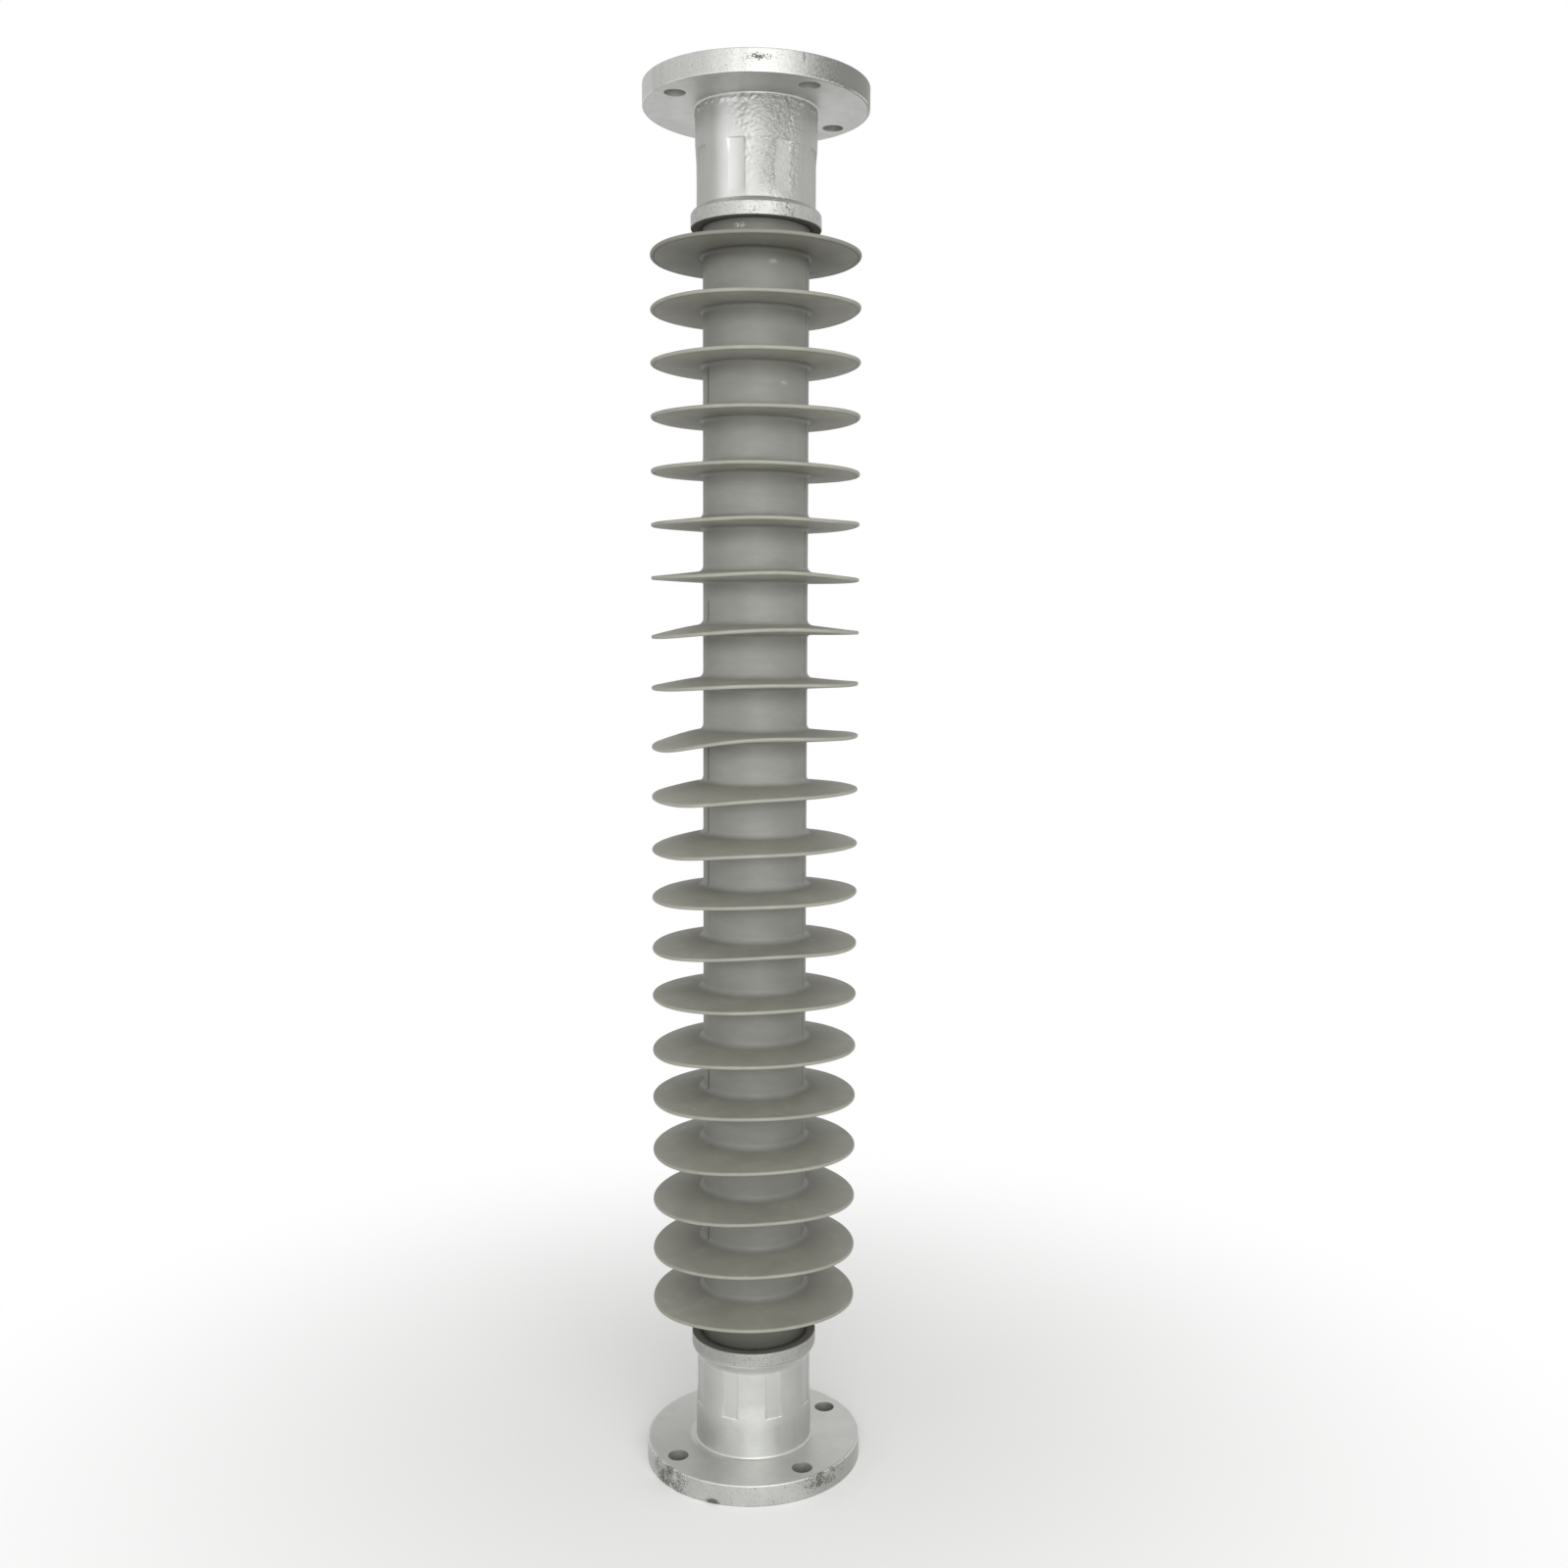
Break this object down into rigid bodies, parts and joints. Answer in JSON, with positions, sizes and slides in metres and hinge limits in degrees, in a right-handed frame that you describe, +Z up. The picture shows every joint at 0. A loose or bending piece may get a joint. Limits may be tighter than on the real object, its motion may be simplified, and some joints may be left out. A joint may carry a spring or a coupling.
{
  "type": "composite post insulator",
  "caption": "Upright composite post insulator: a rod-cored silicone rubber body with equal round sheds between two galvanised flange fittings that bolt to a structure.",
  "frame": {"origin": "centre of the bottom mounting face", "axes": "+Z up along the rod from the bottom flange to the top flange; -Y is the side seen from the front, and the four bolt holes lie at 35, 125, 215 and 305 degrees from +X"},
  "size_m": [0.195, 0.195, 1.22],
  "materials": {
    "fibreglass": "ground pultruded glass-epoxy rod, hidden",
    "silicone_rubber": "moulded warm grey silicone rubber, satin, light dust and scuffs",
    "galvanised_iron": "hot-dip galvanised casting, bright satin zinc with ripples, pits and dark specks on the rims",
    "sealant": "dark grey silicone sealant, matt"
  },
  "bodies": {
    "root": {"core_rod": "fibreglass", "housing": "silicone_rubber", "top_fitting": "galvanised_iron", "bottom_fitting": "galvanised_iron", "top_seal": "sealant", "bottom_seal": "sealant"}
  },
  "joints": []
}
